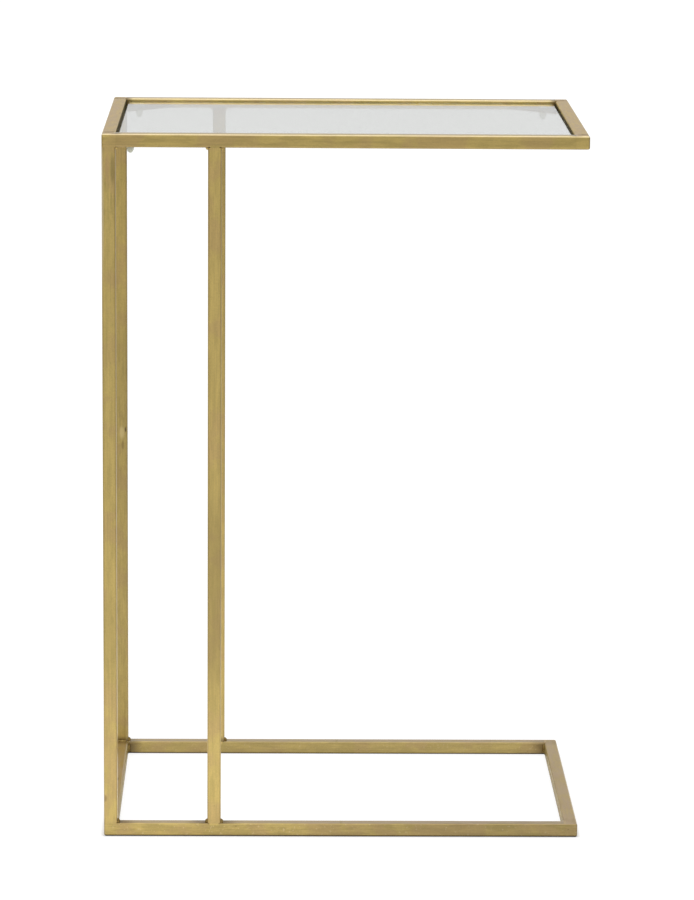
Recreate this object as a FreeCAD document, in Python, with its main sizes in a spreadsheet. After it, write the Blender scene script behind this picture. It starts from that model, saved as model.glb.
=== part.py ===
"""C shaped side table: a welded frame of square tube with a drop-in glass top.

The origin is on the floor, under the middle of the table. +X points to the open end of the C,
+Y to the back and +Z up. All sizes are in millimetres.
"""
import FreeCAD, Part
import math
import os
import Sketcher

# Driving sizes. Each one can be set by itself; everything that fits or seats follows from them.
SIZES = {
    "table_width": 450.0,           # over the frame, closed end to open end
    "table_depth": 310.0,           # over the frame, front to back
    "table_height": 670.0,          # floor to the top of the frame
    "tube_side": 12.7,              # half-inch square tube
    "tube_wall": 1.2,
    "tube_corner": 2.0,             # outside corner radius
    "cap_thickness": 2.5,           # plate that closes a side rail's end
    "inner_leg_offset": 98.0,       # closed end to the near face of the inner legs
    "bead_radius": 2.4,             # weld beads in the inner corners
    "glass_thickness": 4.0,
    "glass_recess": 3.0,            # top of the frame down to the top of the glass
    "glass_clearance": 2.0,         # glass edge to rail, all round
    "glass_corner": 3.0,            # corner radius of the pane
    "glass_arris": 0.6,             # ground edge of the pane
    "gusset_leg": 48.0,
    "gusset_thickness": 1.5,
    "gusset_tip": 3.0,              # width of the blunt tips
    "gusset_relief": 4.0,           # cut-off of the right-angled corner, clear of the weld
    "bumper_inset": 13.0,           # rails to the bumper's axis, both ways
    "head_diameter": 10.0,          # the bumper's head, between gusset and glass
    "head_height": 3.0,
    "stem_diameter": 4.8,           # the bumper's stem, through the gusset
    "stem_clearance": 0.1,          # stem to the wall of its hole
    "plug_diameter": 6.8,           # the bumper's plug, under the gusset
    "plug_length": 9.2,
    "plug_taper": 3.2,              # the part of its length that narrows to the tip
    "plug_tip_diameter": 3.0,
}

# Lengths and places that many pieces share, as expressions on the sheet.
TUBE = "Sizes.tube_side"
CORNER = "Sizes.tube_corner"
CAP = "Sizes.cap_thickness"
FLAT = "Sizes.tube_side - 2 * Sizes.tube_corner"
LEFT = "-Sizes.table_width / 2"
RIGHT = "Sizes.table_width / 2"
FRONT = "-Sizes.table_depth / 2"
BACK = "Sizes.table_depth / 2"
FLOOR = "0"
BASE_TOP = TUBE
TOP_UNDERSIDE = "Sizes.table_height - Sizes.tube_side"
INNER_LEG = LEFT + " + Sizes.inner_leg_offset"
GLASS_UNDERSIDE = "Sizes.table_height - Sizes.glass_recess - Sizes.glass_thickness"
GUSSET_UNDERSIDE = GLASS_UNDERSIDE + " - Sizes.head_height - Sizes.gusset_thickness"

# The two flat rectangles of the frame, each with the height of its underside.
LEVELS = {"base": FLOOR, "top": TOP_UNDERSIDE}
# Where the side rails and the cross rails lie: the low face, the face that looks into the frame,
# and the way from that face into the frame.
SIDES = {"left": (LEFT, LEFT + " + " + TUBE, 1), "right": (RIGHT + " - " + TUBE, RIGHT + " - " + TUBE, -1)}
ENDS = {"front": (FRONT, FRONT + " + " + TUBE, 1), "back": (BACK + " - " + TUBE, BACK + " - " + TUBE, -1)}

AXES = "XYZ"
UNIT = {"X": FreeCAD.Vector(1, 0, 0), "Y": FreeCAD.Vector(0, 1, 0), "Z": FreeCAD.Vector(0, 0, 1)}
# The plane that a tube's section is drawn on, and whether its pad has to be turned round.
SECTION_PLANES = {"X": ("YZ_Plane", False), "Y": ("XZ_Plane", True), "Z": ("XY_Plane", False)}

doc = FreeCAD.newDocument("c_side_table")
sheet = doc.addObject("Spreadsheet::Sheet", "Sizes")
for row, (size_name, size) in enumerate(SIZES.items(), start=1):
    sheet.set("A%d" % row, str(size))
    sheet.setAlias("A%d" % row, size_name)
doc.recompute()

nodes = []


def value(expression):
    """Work an expression on the sheet out as a plain number."""
    result = sheet.evalExpression(expression)
    return float(getattr(result, "Value", result))


def bind(thing, **expressions):
    """Tie properties of an object to the sheet."""
    for name, expression in expressions.items():
        thing.setExpression(name, expression)


def place(thing, x, y, z):
    """Tie the place of an object to the sheet."""
    for name, expression in zip("xyz", (x, y, z)):
        thing.setExpression("Placement.Base." + name, expression)


def new_node(kind, label):
    """Start a piece that is written to a file of its own, under its label."""
    piece = doc.addObject(kind, "Piece")
    piece.Label = label
    nodes.append(piece)
    return piece


def new_sketch(body, plane):
    """Start a sketch on one of the body's own origin planes."""
    sketch = body.newObject("Sketcher::SketchObject", "Sketch")
    own_planes = [feature for feature in body.Origin.OriginFeatures if feature.Role == plane]
    sketch.AttachmentSupport = [(own_planes[0], "")]
    sketch.MapMode = "FlatFace"
    return sketch


def dimension(sketch, name, expression, kind, *where):
    """Add a dimension to a sketch, with a name, and tie it to the sheet."""
    sketch.addConstraint(Sketcher.Constraint(kind, *where, value(expression)))
    sketch.renameConstraint(sketch.ConstraintCount - 1, name)
    sketch.setExpression("Constraints." + name, expression)


def rounded_rectangle(sketch, width, depth, corner):
    """Draw a rectangle with round corners about the sketch's origin, tied to three expressions."""
    half_width, half_depth, radius = value(width) / 2, value(depth) / 2, value(corner)
    across, along = half_width - radius, half_depth - radius
    centres = [(across, along), (-across, along), (-across, -along), (across, -along)]
    straights = [
        ((across, half_depth), (-across, half_depth)),
        ((-half_width, along), (-half_width, -along)),
        ((-across, -half_depth), (across, -half_depth)),
        ((half_width, -along), (half_width, along)),
    ]
    arcs, lines = [], []
    for turn in range(4):
        circle = Part.Circle(FreeCAD.Vector(*centres[turn]), UNIT["Z"], radius)
        arc = Part.ArcOfCircle(circle, turn * math.pi / 2, (turn + 1) * math.pi / 2)
        arcs.append(sketch.addGeometry(arc, False))
        start, end = [FreeCAD.Vector(*point) for point in straights[turn]]
        lines.append(sketch.addGeometry(Part.LineSegment(start, end), False))
    for turn in range(4):
        sketch.addConstraint(Sketcher.Constraint("Tangent", arcs[turn], 2, lines[turn], 1))
        sketch.addConstraint(Sketcher.Constraint("Tangent", lines[turn], 2, arcs[(turn + 1) % 4], 1))
        sketch.addConstraint(Sketcher.Constraint(("Horizontal", "Vertical")[turn % 2], lines[turn]))
    for arc in arcs[1:]:
        sketch.addConstraint(Sketcher.Constraint("Equal", arcs[0], arc))
    sketch.addConstraint(Sketcher.Constraint("Symmetric", arcs[0], 3, arcs[2], 3, -1, 1))
    dimension(sketch, "width", width, "DistanceX", lines[1], 1, lines[3], 1)
    dimension(sketch, "depth", depth, "DistanceY", lines[2], 1, lines[0], 1)
    dimension(sketch, "corner", corner, "Radius", arcs[0])


def outline(sketch, points):
    """Draw a closed outline whose corners are pairs of expressions; "0" puts a corner on an axis."""
    corners = [FreeCAD.Vector(value(x), value(y), 0) for x, y in points]
    lines = []
    for start, end in zip(corners, corners[1:] + corners[:1]):
        lines.append(sketch.addGeometry(Part.LineSegment(start, end), False))
    for index, (line, (x, y)) in enumerate(zip(lines, points)):
        sketch.addConstraint(Sketcher.Constraint("Coincident", lines[index - 1], 2, line, 1))
        for kind, axis, place_on_axis in (("DistanceX", -2, x), ("DistanceY", -1, y)):
            if place_on_axis == "0":
                sketch.addConstraint(Sketcher.Constraint("PointOnObject", line, 1, axis))
            else:
                name = "%s_%d" % (kind, index)
                dimension(sketch, name, place_on_axis, kind, -1, 1, line, 1)


def pad(body, sketch, length, turned=False):
    """Pad a sketch to a length."""
    feature = body.newObject("PartDesign::Pad", "Pad")
    feature.Profile = sketch
    feature.Reversed = turned
    bind(feature, Length=length)
    body.Tip = feature
    doc.recompute()
    return feature


def square_tube(label, axis, length, x, y, z):
    """Make a straight tube along an axis from the low corner x, y, z of its outside."""
    plane, turned = SECTION_PLANES[axis]
    body = new_node("PartDesign::Body", label)
    section = new_sketch(body, plane)
    rounded_rectangle(section, TUBE, TUBE, CORNER)
    near = "Sizes.tube_wall - Sizes.tube_side / 2"
    far = "Sizes.tube_side / 2 - Sizes.tube_wall"
    outline(section, [(near, near), (far, near), (far, far), (near, far)])
    pad(body, section, length, turned)
    low = dict(zip(AXES, (x, y, z)))
    place(body, *[low[name] if name == axis else low[name] + " + Sizes.tube_side / 2" for name in AXES])


def end_cap(label, open_sides, x, y, z):
    """Close a rail's end with a plate that is rounded along the edges between its open sides.

    A side is an axis and a way along it, such as ("X", 1) for the right-hand side. The plate's
    other edges meet a rail or a leg, so they stay square.
    """
    body = new_node("PartDesign::Body", label)
    plate = body.newObject("PartDesign::AdditiveBox", "Plate")
    bind(plate, Length=TUBE, Width=CAP, Height=TUBE)
    doc.recompute()
    middle = plate.Shape.BoundBox.Center
    rounded_edges = []
    for index, edge in enumerate(plate.Shape.Edges, start=1):
        offset = edge.CenterOfMass - middle
        sides = {(name, math.copysign(1, reach)) for name, reach in zip(AXES, offset) if abs(reach) > 0.01}
        if sides <= open_sides:
            rounded_edges.append("Edge%d" % index)
    fillet = body.newObject("PartDesign::Fillet", "Rounding")
    fillet.Base = (plate, rounded_edges)
    bind(fillet, Radius=CORNER)
    body.Tip = fillet
    place(body, x, y, z)


def quarter_bead(axis, length, x, y, z, ways):
    """Lay a convex weld bead along an inner corner, which starts at x, y, z and runs up the axis.

    ways gives the two directions, across the axis, in which the corner is open.
    """
    first, second = [UNIT[name] * way for name, way in zip(AXES.replace(axis, ""), ways)]
    # the quarter is counted anticlockwise about the way that the bead runs
    if first.cross(second).dot(UNIT[axis]) < 0:
        first, second = second, first
    bead = doc.addObject("Part::Cylinder", "Bead")
    bind(bead, Radius="Sizes.bead_radius", Height=length)
    bead.Angle = 90
    bead.Placement.Rotation = FreeCAD.Rotation(first, second, UNIT[axis], "ZXY")
    place(bead, x, y, z)
    return bead


def seam_fill(axis, length, x, y, z, ways):
    """Fill the groove over a tube's round corner, where another tube meets it flush.

    The groove runs up the axis from x, y, z, where the tube's edge would be if it were sharp.
    ways gives the two directions, across the axis, from that edge to the middle of the tube.
    """
    low = dict(zip(AXES, (x, y, z)))
    centre = dict(low)
    for name, way in zip(AXES.replace(axis, ""), ways):
        centre[name] = low[name] + (" + " if way > 0 else " - ") + CORNER
        if way < 0:
            low[name] = centre[name]
    block = doc.addObject("Part::Box", "SeamBlock")
    for extent, name in zip(("Length", "Width", "Height"), AXES):
        block.setExpression(extent, length if name == axis else CORNER)
    place(block, *low.values())
    rounding = doc.addObject("Part::Cylinder", "SeamRounding")
    bind(rounding, Radius=CORNER, Height=length)
    rounding.Placement.Rotation = FreeCAD.Rotation(UNIT["Z"], UNIT[axis])
    place(rounding, *centre.values())
    fill = doc.addObject("Part::Cut", "Seam")
    fill.Base = block
    fill.Tool = rounding
    return fill


def group(label, pieces):
    """Keep like pieces together as the separate solids of one node."""
    compound = new_node("Part::Compound", label)
    compound.Links = pieces


def rails(level, z):
    """Make one flat rectangle: side rails with closed ends, and the cross rails between them."""
    for side, (x, _, inward_x) in SIDES.items():
        length = "Sizes.table_depth - 2 * Sizes.cap_thickness"
        square_tube("%s_%s_rail" % (level, side), "Y", length, x, FRONT + " + " + CAP, z)
        for end, cap_y, inward_y in (("front", FRONT, 1), ("back", BACK + " - " + CAP, -1)):
            open_sides = {("X", -inward_x), ("Y", -inward_y), ("Z", 1), ("Z", -1)}
            if side == "left":
                open_sides.remove(("Z", 1) if level == "base" else ("Z", -1))
            end_cap("%s_%s_%s_cap" % (level, side, end), open_sides, x, cap_y, z)
    for end, (y, _, _) in ENDS.items():
        length = "Sizes.table_width - 2 * Sizes.tube_side"
        square_tube("%s_%s_rail" % (level, end), "X", length, LEFT + " + " + TUBE, y, z)


def legs():
    """Stand the four legs between the base and the top."""
    length = "Sizes.table_height - 2 * Sizes.tube_side"
    for end, (y, _, _) in ENDS.items():
        square_tube(end + "_outer_leg", "Z", length, LEFT, y, BASE_TOP)
        square_tube(end + "_inner_leg", "Z", length, INNER_LEG, y, BASE_TOP)


def rail_seams(z):
    """Fill the grooves above and below each joint between a side rail and a cross rail."""
    seams = []
    length = "Sizes.tube_side - Sizes.cap_thickness"
    for _, edge_x, inward_x in SIDES.values():
        for y, _, inward_y in ENDS.values():
            start = y + " + " + CAP if inward_y > 0 else y
            seams.append(seam_fill("Y", length, edge_x, start, z, (-inward_x, 1)))
            seams.append(seam_fill("Y", length, edge_x, start, z + " + " + TUBE, (-inward_x, -1)))
    return seams


def leg_seams():
    """Fill the grooves where the legs' faces are flush with the rails that they stand between."""
    seams = []
    beside_cap = "Sizes.tube_side - Sizes.cap_thickness - Sizes.tube_corner"
    for edge_z, way in ((BASE_TOP, -1), (TOP_UNDERSIDE, 1)):
        for y, _, inward_y in ENDS.values():
            start = y + " + " + (CAP if inward_y > 0 else CORNER)
            seams.append(seam_fill("Y", beside_cap, LEFT, start, edge_z, (1, way)))
            inner_x = INNER_LEG + " + " + CORNER
            seams.append(seam_fill("X", FLAT, inner_x, y, edge_z, (1, way)))
            seams.append(seam_fill("X", FLAT, inner_x, y + " + " + TUBE, edge_z, (-1, way)))
    return seams


def leg_beads(z, way):
    """Lay the beads round the legs' ends at one level; way is 1 where the beads lie on the rails."""
    beads = []
    for y, edge_y, inward_y in ENDS.values():
        start = y + " + " + CORNER
        beads.append(quarter_bead("X", FLAT, LEFT + " + " + CORNER, edge_y, z, (inward_y, way)))
        beads.append(quarter_bead("Y", FLAT, LEFT + " + " + TUBE, start, z, (1, way)))
        beads.append(quarter_bead("Y", FLAT, INNER_LEG, start, z, (-1, way)))
        beads.append(quarter_bead("Y", FLAT, INNER_LEG + " + " + TUBE, start, z, (1, way)))
    return beads


def corner_beads(z):
    """Lay an upright bead in each inner corner of one rectangle."""
    return [
        quarter_bead("Z", FLAT, edge_x, edge_y, z + " + " + CORNER, (inward_x, inward_y))
        for _, edge_x, inward_x in SIDES.values()
        for _, edge_y, inward_y in ENDS.values()
    ]


def gusset(label):
    """Cut a three-cornered plate with blunt tips, a relieved corner and a hole for its bumper."""
    body = new_node("PartDesign::Body", label)
    shape = new_sketch(body, "XY_Plane")
    leg, tip, relief = "Sizes.gusset_leg", "Sizes.gusset_tip", "Sizes.gusset_relief"
    outline(shape, [(relief, "0"), (leg, "0"), (leg, tip), (tip, leg), ("0", leg), ("0", relief)])
    plate = pad(body, shape, "Sizes.gusset_thickness")
    hole = new_sketch(body, "XY_Plane")
    inset = value("Sizes.bumper_inset")
    radius = value("Sizes.stem_diameter") / 2
    hole.addGeometry(Part.Circle(FreeCAD.Vector(inset, inset, 0), UNIT["Z"], radius), False)
    dimension(hole, "across", "Sizes.bumper_inset", "DistanceX", -1, 1, 0, 3)
    dimension(hole, "along", "Sizes.bumper_inset", "DistanceY", -1, 1, 0, 3)
    dimension(hole, "bore", "Sizes.stem_diameter + 2 * Sizes.stem_clearance", "Diameter", 0)
    pocket = body.newObject("PartDesign::Pocket", "Pocket")
    pocket.Profile = hole
    pocket.Type = "ThroughAll"
    pocket.Reversed = True
    body.Tip = pocket
    doc.recompute()
    if pocket.Shape.Volume >= plate.Shape.Volume:
        raise RuntimeError("the hole for the bumper cuts nothing")
    return body


def bumper(label):
    """Turn a push-in bumper: a plug with a tapered end, a stem through the gusset and a flat head."""
    body = new_node("PartDesign::Body", label)
    profile = new_sketch(body, "XZ_Plane")
    head, stem = "Sizes.head_diameter / 2", "Sizes.stem_diameter / 2"
    plug, tip = "Sizes.plug_diameter / 2", "Sizes.plug_tip_diameter / 2"
    taper, under = "Sizes.plug_taper", "Sizes.plug_length"
    over = under + " + Sizes.gusset_thickness"
    top = over + " + Sizes.head_height"
    outline(profile, [
        ("0", "0"), (tip, "0"), (plug, taper), (plug, under), (stem, under), (stem, over),
        (head, over), (head, top), ("0", top),
    ])
    turned = body.newObject("PartDesign::Revolution", "Turned")
    turned.Profile = profile
    turned.ReferenceAxis = (profile, ["V_Axis"])
    turned.Angle = 360
    body.Tip = turned
    return body


def in_each_corner(make, kind, inset, z):
    """Make a piece for each inner corner of the top, turned to fit there, inset from both rails."""
    quarter_turns = {(1, 1): 0, (-1, 1): 1, (-1, -1): 2, (1, -1): 3}
    for side, (_, edge_x, inward_x) in SIDES.items():
        for end, (_, edge_y, inward_y) in ENDS.items():
            body = make("%s_%s_%s" % (end, side, kind))
            degrees = 90 * quarter_turns[inward_x, inward_y]
            body.Placement.Rotation = FreeCAD.Rotation(UNIT["Z"], degrees)
            x = edge_x + (" + " if inward_x > 0 else " - ") + inset
            y = edge_y + (" + " if inward_y > 0 else " - ") + inset
            place(body, x, y, z)


def glass_pane():
    """Cut the pane to drop between the rails, with round corners and ground edges."""
    body = new_node("PartDesign::Body", "glass_top")
    shape = new_sketch(body, "XY_Plane")
    less = " - 2 * Sizes.tube_side - 2 * Sizes.glass_clearance"
    rounded_rectangle(shape, "Sizes.table_width" + less, "Sizes.table_depth" + less, "Sizes.glass_corner")
    pane = pad(body, shape, "Sizes.glass_thickness")
    faces = enumerate(pane.Shape.Faces, start=1)
    flat_faces = ["Face%d" % index for index, face in faces if abs(face.normalAt(0, 0).z) > 0.99]
    arris = body.newObject("PartDesign::Chamfer", "Arris")
    arris.Base = (pane, flat_faces)
    bind(arris, Size="Sizes.glass_arris")
    body.Tip = arris
    place(body, "0", "0", GLASS_UNDERSIDE)


def check_pieces():
    """Stop if any object of the document failed, or if a piece has no sound solid."""
    for thing in doc.Objects:
        if "Invalid" in thing.State or "Error" in thing.State:
            raise RuntimeError("%s did not come out: %s" % (thing.Label, thing.State))
    for piece in nodes:
        if piece.Shape.isNull() or not piece.Shape.isValid() or not piece.Shape.Solids:
            raise RuntimeError("%s has no sound solid" % piece.Label)


def write_pieces():
    """Write each piece to its own file."""
    os.makedirs("parts", exist_ok=True)
    for piece in nodes:
        piece.Shape.exportStep("parts/%s.step" % piece.Label)


for level_name, level_z in LEVELS.items():
    rails(level_name, level_z)
legs()
for level_name, level_z in LEVELS.items():
    group(level_name + "_seam_welds", rail_seams(level_z))
group("leg_seam_welds", leg_seams())
group("leg_foot_beads", leg_beads(BASE_TOP, 1))
group("leg_head_beads", leg_beads(TOP_UNDERSIDE, -1))
group("base_corner_beads", corner_beads(FLOOR))
in_each_corner(gusset, "gusset", "0", GUSSET_UNDERSIDE)
in_each_corner(bumper, "bumper", "Sizes.bumper_inset", GUSSET_UNDERSIDE + " - Sizes.plug_length")
glass_pane()
doc.recompute()
check_pieces()
write_pieces()
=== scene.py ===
"""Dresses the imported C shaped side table: brushed brass tube, sculpted welds, bumpers and a clear pane.

Everything is in metres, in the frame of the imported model: the origin is on the floor under the
middle of the table, +X points to the open end of the C, +Y to the back and +Z up.
"""

import logging
import math
import random
from dataclasses import dataclass, field, replace
from enum import Enum
from typing import Any, Sequence, Union

import bmesh
import bpy
from mathutils import Matrix, Vector


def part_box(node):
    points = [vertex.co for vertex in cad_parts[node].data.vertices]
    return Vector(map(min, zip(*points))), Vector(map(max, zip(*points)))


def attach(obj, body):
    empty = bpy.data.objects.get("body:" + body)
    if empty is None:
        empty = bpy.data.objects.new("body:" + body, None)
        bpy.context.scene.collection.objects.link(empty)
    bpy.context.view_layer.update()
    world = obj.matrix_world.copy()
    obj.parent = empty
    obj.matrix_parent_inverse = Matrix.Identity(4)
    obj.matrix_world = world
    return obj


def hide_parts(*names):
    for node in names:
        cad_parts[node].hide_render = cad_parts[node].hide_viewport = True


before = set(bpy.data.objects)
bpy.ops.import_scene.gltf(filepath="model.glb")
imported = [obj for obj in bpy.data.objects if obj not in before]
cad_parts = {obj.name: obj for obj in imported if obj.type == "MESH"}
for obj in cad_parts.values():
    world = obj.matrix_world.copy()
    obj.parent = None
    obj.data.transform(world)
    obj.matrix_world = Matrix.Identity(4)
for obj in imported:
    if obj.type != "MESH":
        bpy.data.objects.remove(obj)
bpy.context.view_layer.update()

MILLIMETRE = 0.001
IMAGE_WIDTH_PX = 694
SENSOR_WIDTH = 36.0

log = logging.getLogger("side_table")

Colour = tuple[float, float, float, float]
Change = tuple[float, float, float, float]
"""Where a change starts and ends, and the levels that it goes from and to."""

Outline = list[tuple[float, float]]
"""Pairs of a radius and a height, from below to above."""

LEVELS = ("base", "top")
SIDES = ("left", "right")
INWARD = {"front": 1.0, "back": -1.0}
"""The ends of the table, and which way along Y is inward from each."""


def screen_colour(red: float, green: float, blue: float) -> Colour:
    """Turn a colour on a screen's scale of 0 to 255 into linear light.

    Args:
        red: Red, from 0 to 255.
        green: Green, from 0 to 255.
        blue: Blue, from 0 to 255.

    Returns:
        The linear colour, with an alpha of 1.
    """
    # The standard curve of a screen has a straight foot and a power above it.
    linear = []
    for level in (red, green, blue):
        share = level / 255.0
        linear.append(share / 12.92 if share <= 0.04045 else ((share + 0.055) / 1.055) ** 2.4)
    return linear[0], linear[1], linear[2], 1.0


# The colours of the finishes, as a sample card shows them, and of the painted highlights and shades laid on
# them.
GOLD = screen_colour(209, 183, 106)
OLIVE = screen_colour(186, 163, 93)
ROSE = screen_colour(196, 164, 108)
# A painted highlight, laid on rounded edges where they mirror the light overhead.
WORN = screen_colour(234, 218, 180)
FLECK = screen_colour(226, 202, 144)
# Painted shade, laid on rounded edges that look down or sideways, where they mirror the darker floor and
# sides.
PATINA = screen_colour(146, 122, 70)
# Dust on faces that look up, which also paints the dull pinkish reflection of top faces seen at a low
# angle.
DUST = screen_colour(182, 154, 120)
# Heat tint by the welds, which also paints the shade in the inner corners there.
HEAT_BROWN = screen_colour(112, 88, 52)
TARNISH = screen_colour(150, 129, 76)
STAIN_BROWN = screen_colour(98, 78, 46)
# Painted shade: dark laid in the slot between a top side rail and the pane, on inner faces and along the
# floor.
GRIME = screen_colour(52, 42, 26)
# The weld tones are dark in part for patina and in part as painted shade of the corners that the beads sit
# in.
WELD_BROWN = screen_colour(120, 98, 56)
WELD_CREST = screen_colour(164, 140, 84)
HEAD_WELD_HOLLOW = screen_colour(186, 160, 98)
HEAD_WELD_CREST = screen_colour(212, 188, 120)
BRASS_GRAZING_TINT = screen_colour(236, 222, 192)
KNOCKED = screen_colour(160, 134, 82)
PITTED = screen_colour(118, 100, 56)
OLIVE_RUN = screen_colour(134, 120, 64)
ROSE_RUN = screen_colour(200, 164, 114)
# A dent painted on a leg: a painted highlight on its rim and painted shade at its foot.
DENT_RIM = screen_colour(220, 198, 136)
DENT_FOOT = screen_colour(140, 116, 66)
GLASS_WHITE = screen_colour(246, 250, 247)
EDGE_GREEN = screen_colour(112, 146, 126)
VINYL = screen_colour(240, 244, 232)
VINYL_HAZE = screen_colour(228, 234, 218)
WHITE = screen_colour(255, 255, 255)
BLACK = screen_colour(0, 0, 0)

MIDDLE = 0.5
"""The middle level of a noise."""


class Axis(Enum):
    """A direction of the table, by its place in a vector."""

    X = 0
    Y = 1
    Z = 2

    def stretched(self, along: float, across: float) -> tuple[float, float, float]:
        """Give a pattern one frequency along this axis and another across it."""
        return tuple(along if index == self.value else across for index in range(3))

    def unit(self, way: float = 1.0) -> Vector:
        """Give the unit vector along this axis, one way or the other."""
        return Vector(self.stretched(way, 0.0))


@dataclass(frozen=True)
class Signal:
    """One output of a node, which takes part in sums as a number does.

    Attributes:
        board: The node tree that the socket is part of.
        socket: The output socket, or None where a node has none.
    """

    board: "NodeBoard"
    socket: bpy.types.NodeSocket | None

    def _sum(self, operation: str, first: "Number", second: "Number") -> "Signal":
        """Add a Math node for two numbers."""
        return self.board.add("ShaderNodeMath", {"operation": operation}, {0: first, 1: second})

    def __add__(self, other: "Number") -> "Signal":
        """Add a number."""
        return self._sum("ADD", self, other)

    def __radd__(self, other: "Number") -> "Signal":
        """Add this to a number."""
        return self._sum("ADD", other, self)

    def __sub__(self, other: "Number") -> "Signal":
        """Take a number away."""
        return self._sum("SUBTRACT", self, other)

    def __rsub__(self, other: "Number") -> "Signal":
        """Take this away from a number."""
        return self._sum("SUBTRACT", other, self)

    def __mul__(self, other: "Number") -> "Signal":
        """Multiply by a number."""
        return self._sum("MULTIPLY", self, other)

    def __rmul__(self, other: "Number") -> "Signal":
        """Multiply a number by this."""
        return self._sum("MULTIPLY", other, self)

    def __pow__(self, other: "Number") -> "Signal":
        """Raise to a power."""
        return self._sum("POWER", self, other)

    def __abs__(self) -> "Signal":
        """Drop the sign."""
        return self._sum("ABSOLUTE", self, 0.0)

    def sign(self) -> "Signal":
        """Give 1 above zero and -1 below."""
        return self._sum("SIGN", self, 0.0)

    def larger(self, other: "Number") -> "Signal":
        """Keep the larger of this and another number."""
        return self._sum("MAXIMUM", self, other)

    def smaller(self, other: "Number") -> "Signal":
        """Keep the smaller of this and another number."""
        return self._sum("MINIMUM", self, other)

    def fade(self, start: float, end: float, low: float = 0.0, high: float = 1.0) -> "Signal":
        """Go smoothly from one level to another while this goes from start to end.

        Args:
            start: Where the change starts.
            end: Where it ends, which may be below the start.
            low: The level at the start.
            high: The level at the end.

        Returns:
            The level.
        """
        if start > end:
            start, end, low, high = end, start, high, low
        limits = {"Value": self, "From Min": start, "From Max": end, "To Min": low, "To Max": high}
        return self.board.add("ShaderNodeMapRange", {"interpolation_type": "SMOOTHSTEP"}, limits)


Number = Union[Signal, float]
Input = Union[Signal, float, Sequence[float]]


@dataclass(frozen=True)
class Pattern:
    """A noise in a finish.

    Attributes:
        along: How many features there are to a metre, along the grain.
        across: How many there are across it.
        detail: How many finer layers there are.
        shift: Where the pattern starts, so that no two are alike.
        roughness: How strong the finer layers are.
    """

    along: float
    across: float
    detail: float
    shift: float
    roughness: float = 0.5


@dataclass(frozen=True)
class Mark:
    """One small knock or stain in the finish.

    Attributes:
        place: The middle of the mark, in metres.
        reach: How far it spreads along each axis.
        tone: Its colour.
        depth: How strong it is.
    """

    place: tuple[float, float, float]
    reach: tuple[float, float, float]
    tone: Colour = STAIN_BROWN
    depth: float = 0.8


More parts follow.
